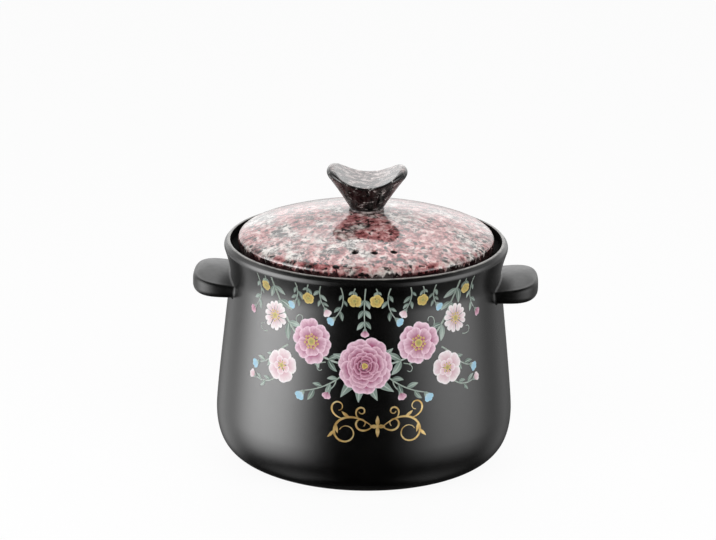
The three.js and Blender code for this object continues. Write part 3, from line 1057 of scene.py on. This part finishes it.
def lid_glaze():
    """Glossy rose and stone glaze that runs out in drips down the lid's upright edge, dark below."""
    nodes = new_look("speckled_glaze")
    colour = granite_colour(nodes)
    x, y, z = nodes.parts(nodes.place)
    drips = nodes.noise(330.0, detail=2.0, place=nodes.joined(x, y, nodes.times(z, 0.2)))
    reach = nodes.plus(z, nodes.span(drips, 0.3, 0.7, -LID_DRIP * MM, LID_DRIP * MM))
    bare = nodes.span(reach, (LID_DARK_Z + 0.5) * MM, (LID_DARK_Z - 0.5) * MM, 0.0, 0.92)
    return glossy_finish(nodes, nodes.mix(bare, colour, (0.014, 0.005, 0.006)), 1.8)


def knob_glaze():
    """The same glaze, thick and black with grey flecks on the knob and pale on its saddle, with a painted
    highlight as a pale ring round its foot.
    """
    nodes = new_look("knob_glaze")
    flecks = nodes.noise(230.0, detail=4.0, roughness=0.68, distortion=0.6)
    dark = nodes.ramp(flecks, [(0.48, (0.004, 0.004, 0.004)), (0.56, (0.02, 0.02, 0.019)),
                               (0.62, (0.26, 0.25, 0.24)), (0.68, (0.66, 0.63, 0.61))])
    grain = nodes.noise(200.0, detail=4.0, roughness=0.62)
    pale = nodes.ramp(grain, [(0.38, (0.012, 0.009, 0.009)), (0.46, (0.075, 0.05, 0.048)),
                              (0.53, (0.24, 0.18, 0.175)), (0.62, (0.5, 0.43, 0.41))])
    up = nodes.parts(nodes.coordinates.outputs["Normal"])[2]
    _, back, height = nodes.parts(nodes.place)
    level = nodes.plus(up, nodes.times(back, 12.0))
    uneven = nodes.plus(level, nodes.wander(-0.3, 0.3, 150.0, detail=3.0))
    saddle = nodes.span(uneven, 0.68, 1.0)
    # Painted highlight: a pale band round the foot bead, in place of the glint on the fillet where the knob
    # meets the lid.
    foot = nodes.span(height, (KNOB_LOW[2] + 2 * KNOB_BEAD) * MM, (KNOB_LOW[2] + 1.4 * KNOB_BEAD) * MM)
    return glossy_finish(nodes, nodes.mix(nodes.maths("MAXIMUM", saddle, foot), dark, pale), 1.43)


def ledge_painted_shade():
    """Painted shade on the ledge under the lid: dull, near-black and matte."""
    nodes, _ = grained("ledge_painted_shade", 500.0, (0.003, 0.003, 0.003), (0.008, 0.0075, 0.007))
    nodes.set(Roughness=0.8, IOR=1.15)
    nodes.bump(1800.0, 0.2, 0.0002)
    return nodes.owner


def bare_clay():
    """Unglazed stoneware where the pot stands and where the lid sits."""
    nodes, _ = grained("bare_clay", 600.0, (0.33, 0.27, 0.21), (0.47, 0.4, 0.32))
    nodes.set(Roughness=0.85)
    nodes.bump(1800.0, 0.3, 0.0003)
    return nodes.owner


def vent_painted_shade():
    """Painted shade inside the vents: a near-black colour."""
    nodes, _ = grained("vent_painted_shade", 900.0, (0.004, 0.003, 0.003), (0.012, 0.008, 0.008), detail=3.0)
    nodes.set(Roughness=0.5)
    return nodes.owner


def print_look(name, pale, deep, edge, rib=None):
    """Fired-on print: shading between (root, tip) pairs, fine streaks, a lighter edge and maybe a rib."""
    nodes = new_look(name)
    along, across = nodes.mapped("petal")
    tone, chance = nodes.mapped("tone")
    root = nodes.mix(tone, pale[0], deep[0])
    tip = nodes.mix(tone, pale[1], deep[1])
    colour = nodes.mix(nodes.span(along, 0.25, 0.92), root, tip)
    stretched = nodes.joined(nodes.times(along, 2.2), nodes.times(across, 11.0), nodes.times(chance, 50.0))
    streaks = nodes.noise(1.0, detail=3.0, roughness=0.6, place=stretched)
    colour = nodes.mix(nodes.span(streaks, 0.45, 0.7, 0.0, 0.45), colour, root)
    aside = nodes.away(across, 0.5)
    rim = nodes.maths("MAXIMUM", nodes.span(aside, 0.43, 0.5), nodes.span(along, 0.88, 0.99))
    colour = nodes.mix(nodes.times(rim, 0.45), colour, edge)
    if rib is not None:
        colour = nodes.mix(nodes.span(aside, 0.09, 0.03), colour, rib)
    nodes.set(Base_Color=colour, Roughness=0.34, IOR=1.5)
    return nodes.owner


def gilding():
    """Fired gold lustre, brushed unevenly."""
    nodes = new_look("gilding")
    colour = nodes.ramp(nodes.noise(160.0, detail=3.0),
                        [(0.3, (0.5, 0.3, 0.09)), (0.5, (0.78, 0.55, 0.22)), (0.7, (0.92, 0.76, 0.42))])
    nodes.set(Base_Color=colour, Metallic=0.55, Roughness=nodes.wander(0.28, 0.42, 400.0))
    nodes.bump(900.0, 0.1, 0.0003)
    return nodes.owner


def make_floor():
    """A pale floor that stays white to the camera and still takes the pot's shadow."""
    half_width = 6000
    glow_share = 0.94
    nodes = new_look("floor")
    nodes.set(Base_Color=(0.85, 0.85, 0.85, 1.0), Roughness=0.9)
    path = nodes.add("ShaderNodeLightPath")
    glow = nodes.add("ShaderNodeEmission")
    blend = nodes.add("ShaderNodeMixShader", {
        0: nodes.times(path.outputs["Is Camera Ray"], glow_share),
        1: nodes.shader.outputs["BSDF"],
        2: glow.outputs["Emission"]})
    nodes.show(blend.outputs["Shader"])
    corners = [(x * half_width, y * half_width, 0) for x, y in ((-1, -1), (1, -1), (1, 1), (-1, 1))]
    floor = mesh_object("floor", corners, [(0, 1, 2, 3)], [nodes.owner])
    floor.visible_glossy = False


def facing(azimuth, elevation):
    """Direction from the pot at an azimuth from the front and an elevation, in degrees."""
    around = math.radians(azimuth)
    above = math.radians(elevation)
    level = math.cos(above)
    return Vector((level * math.sin(around), -level * math.cos(around), math.sin(above)))


def soft_light(name, azimuth, elevation, radiance):
    """A rectangular lamp that faces the pot and leaves no reflection."""
    lamp = bpy.data.lights.new(name, "AREA")
    lamp.shape = "RECTANGLE"
    lamp.size = LAMP_WIDTH
    lamp.size_y = LAMP_HEIGHT
    lamp.energy = radiance * math.pi * LAMP_WIDTH * LAMP_HEIGHT
    out = facing(azimuth, elevation)
    stand = bpy.data.objects.new(name, lamp)
    stand.location = LAMP_AIM + out * LAMP_DISTANCE
    stand.rotation_mode = "QUATERNION"
    stand.rotation_quaternion = (-out).to_track_quat("-Z", "Y")
    stand.visible_glossy = False
    bpy.context.collection.objects.link(stand)


def card_look(name, radiance):
    """See-through light that fades softly towards all edges of its card."""
    nodes = new_look(name)
    level = radiance
    for share in nodes.mapped("card"):
        fade = nodes.span(nodes.away(share, 0.5), 0.5, 0.0, interpolation_type="SMOOTHERSTEP")
        level = nodes.times(fade, level)
    glow = nodes.add("ShaderNodeEmission", {"Strength": level})
    clear = nodes.add("ShaderNodeBsdfTransparent")
    both = nodes.add("ShaderNodeAddShader", {0: glow.outputs["Emission"], 1: clear.outputs["BSDF"]})
    nodes.show(both.outputs["Shader"])
    return nodes.owner


def reflector(name, azimuth, half_angle, low, high, radiance):
    """A bowed card of soft light for the glaze to reflect. It lights no more."""
    rows, columns = 9, 25
    turns = np.radians(np.linspace(azimuth - half_angle, azimuth + half_angle, columns))
    heights = np.linspace(math.tan(math.radians(low)), math.tan(math.radians(high)), rows)
    grid = np.array([(math.sin(turn), -math.cos(turn), height) for height in heights for turn in turns])
    faces = grid_faces(rows, columns, closed=False)
    piece = mesh_object(name, grid * CARD_DISTANCE + LAMP_AIM / MM, faces, [card_look(name, radiance)])
    shares = np.meshgrid(np.linspace(0, 1, columns), np.linspace(0, 1, rows))
    map_vertices(piece.data, "card", np.stack(shares, axis=-1).reshape(-1, 2))
    piece.visible_camera = False
    piece.visible_diffuse = False
    piece.visible_shadow = False


def light_back():
    """A surround that is bright behind the pot, fades to the sides and is white to the camera."""
    world = bpy.data.worlds.new("studio")
    bpy.context.scene.world = world
    nodes = Nodes(world)
    x, y, z = nodes.parts(nodes.coordinates.outputs["Generated"])
    level = nodes.maths("SQRT", nodes.maths("SUBTRACT", 1.0, nodes.times(z, z)))
    behind = nodes.span(nodes.maths("DIVIDE", y, level), 0.1, 0.9, 0.01, 1.0)
    aside = nodes.away(nodes.maths("DIVIDE", x, level), BACK_BRIGHTEST)
    sideways = nodes.span(aside, 0.1, 0.9, 1.0, 0.5)
    stops = [(sine / 2 + 0.5, (share, share, share)) for sine, share in BACK_STOPS]
    height = nodes.ramp(nodes.span(z, -1.0, 1.0), stops)
    surround = nodes.times(nodes.times(behind, sideways), nodes.times(height, BACK_LEVEL))
    path = nodes.add("ShaderNodeLightPath")
    strength = nodes.maths("MAXIMUM", surround, path.outputs["Is Camera Ray"])
    background = nodes.tree.nodes["Background"]
    nodes.feed(background.inputs["Color"], (1, 1, 1, 1))
    nodes.feed(background.inputs["Strength"], strength)


def light_studio():
    """Soft-edged cards at both sides for the glaze to reflect, soft light from the front, a bright back."""
    for name, setting in CARDS.items():
        reflector(name, *setting)
    for name, setting in LAMPS.items():
        soft_light(name, *setting)
    light_back()


def set_camera():
    """A long lens at the photograph's angle, aimed so that the target falls on its pixel."""
    focal = PIXELS_PER_METRE * CAMERA_DISTANCE
    lens = bpy.data.cameras.new("camera")
    lens.lens = focal * lens.sensor_width / FRAME_WIDTH
    lens.clip_end = 50
    camera = bpy.data.objects.new("camera", lens)
    bpy.context.collection.objects.link(camera)
    back = facing(CAMERA_AZIMUTH, CAMERA_ELEVATION)
    camera.location = TARGET + back * CAMERA_DISTANCE
    seen = Vector((TARGET_PIXEL[0] - FRAME_WIDTH / 2, FRAME_HEIGHT / 2 - TARGET_PIXEL[1], -focal))
    aim = seen.rotation_difference(Vector((0, 0, -1)))
    roll = Matrix.Rotation(math.radians(CAMERA_ROLL), 3, "Z").to_quaternion()
    camera.rotation_mode = "QUATERNION"
    camera.rotation_quaternion = (-back).to_track_quat("-Z", "Y") @ roll @ aim
    bpy.context.scene.camera = camera


set_camera()
light_studio()
make_floor()

clay = bare_clay()

make_vessel(body_glaze(), clay, ledge_painted_shade())
lug_glaze = handle_glaze()
make_handle("right_lug_glazed", "right_handle", lug_glaze, 0)
make_handle("left_lug_glazed", "left_handle", lug_glaze, math.pi)
make_lid(lid_glaze(), clay, vent_painted_shade())
make_knob(knob_glaze())

printed = lay_print()
for kind, colours in PRINT_COLOURS.items():
    make_print("print_" + kind, printed[kind], print_look("print_" + kind, *colours))
make_print("gilt_ornament", lay_ornament(), gilding())

bpy.context.scene.view_settings.view_transform = "Standard"
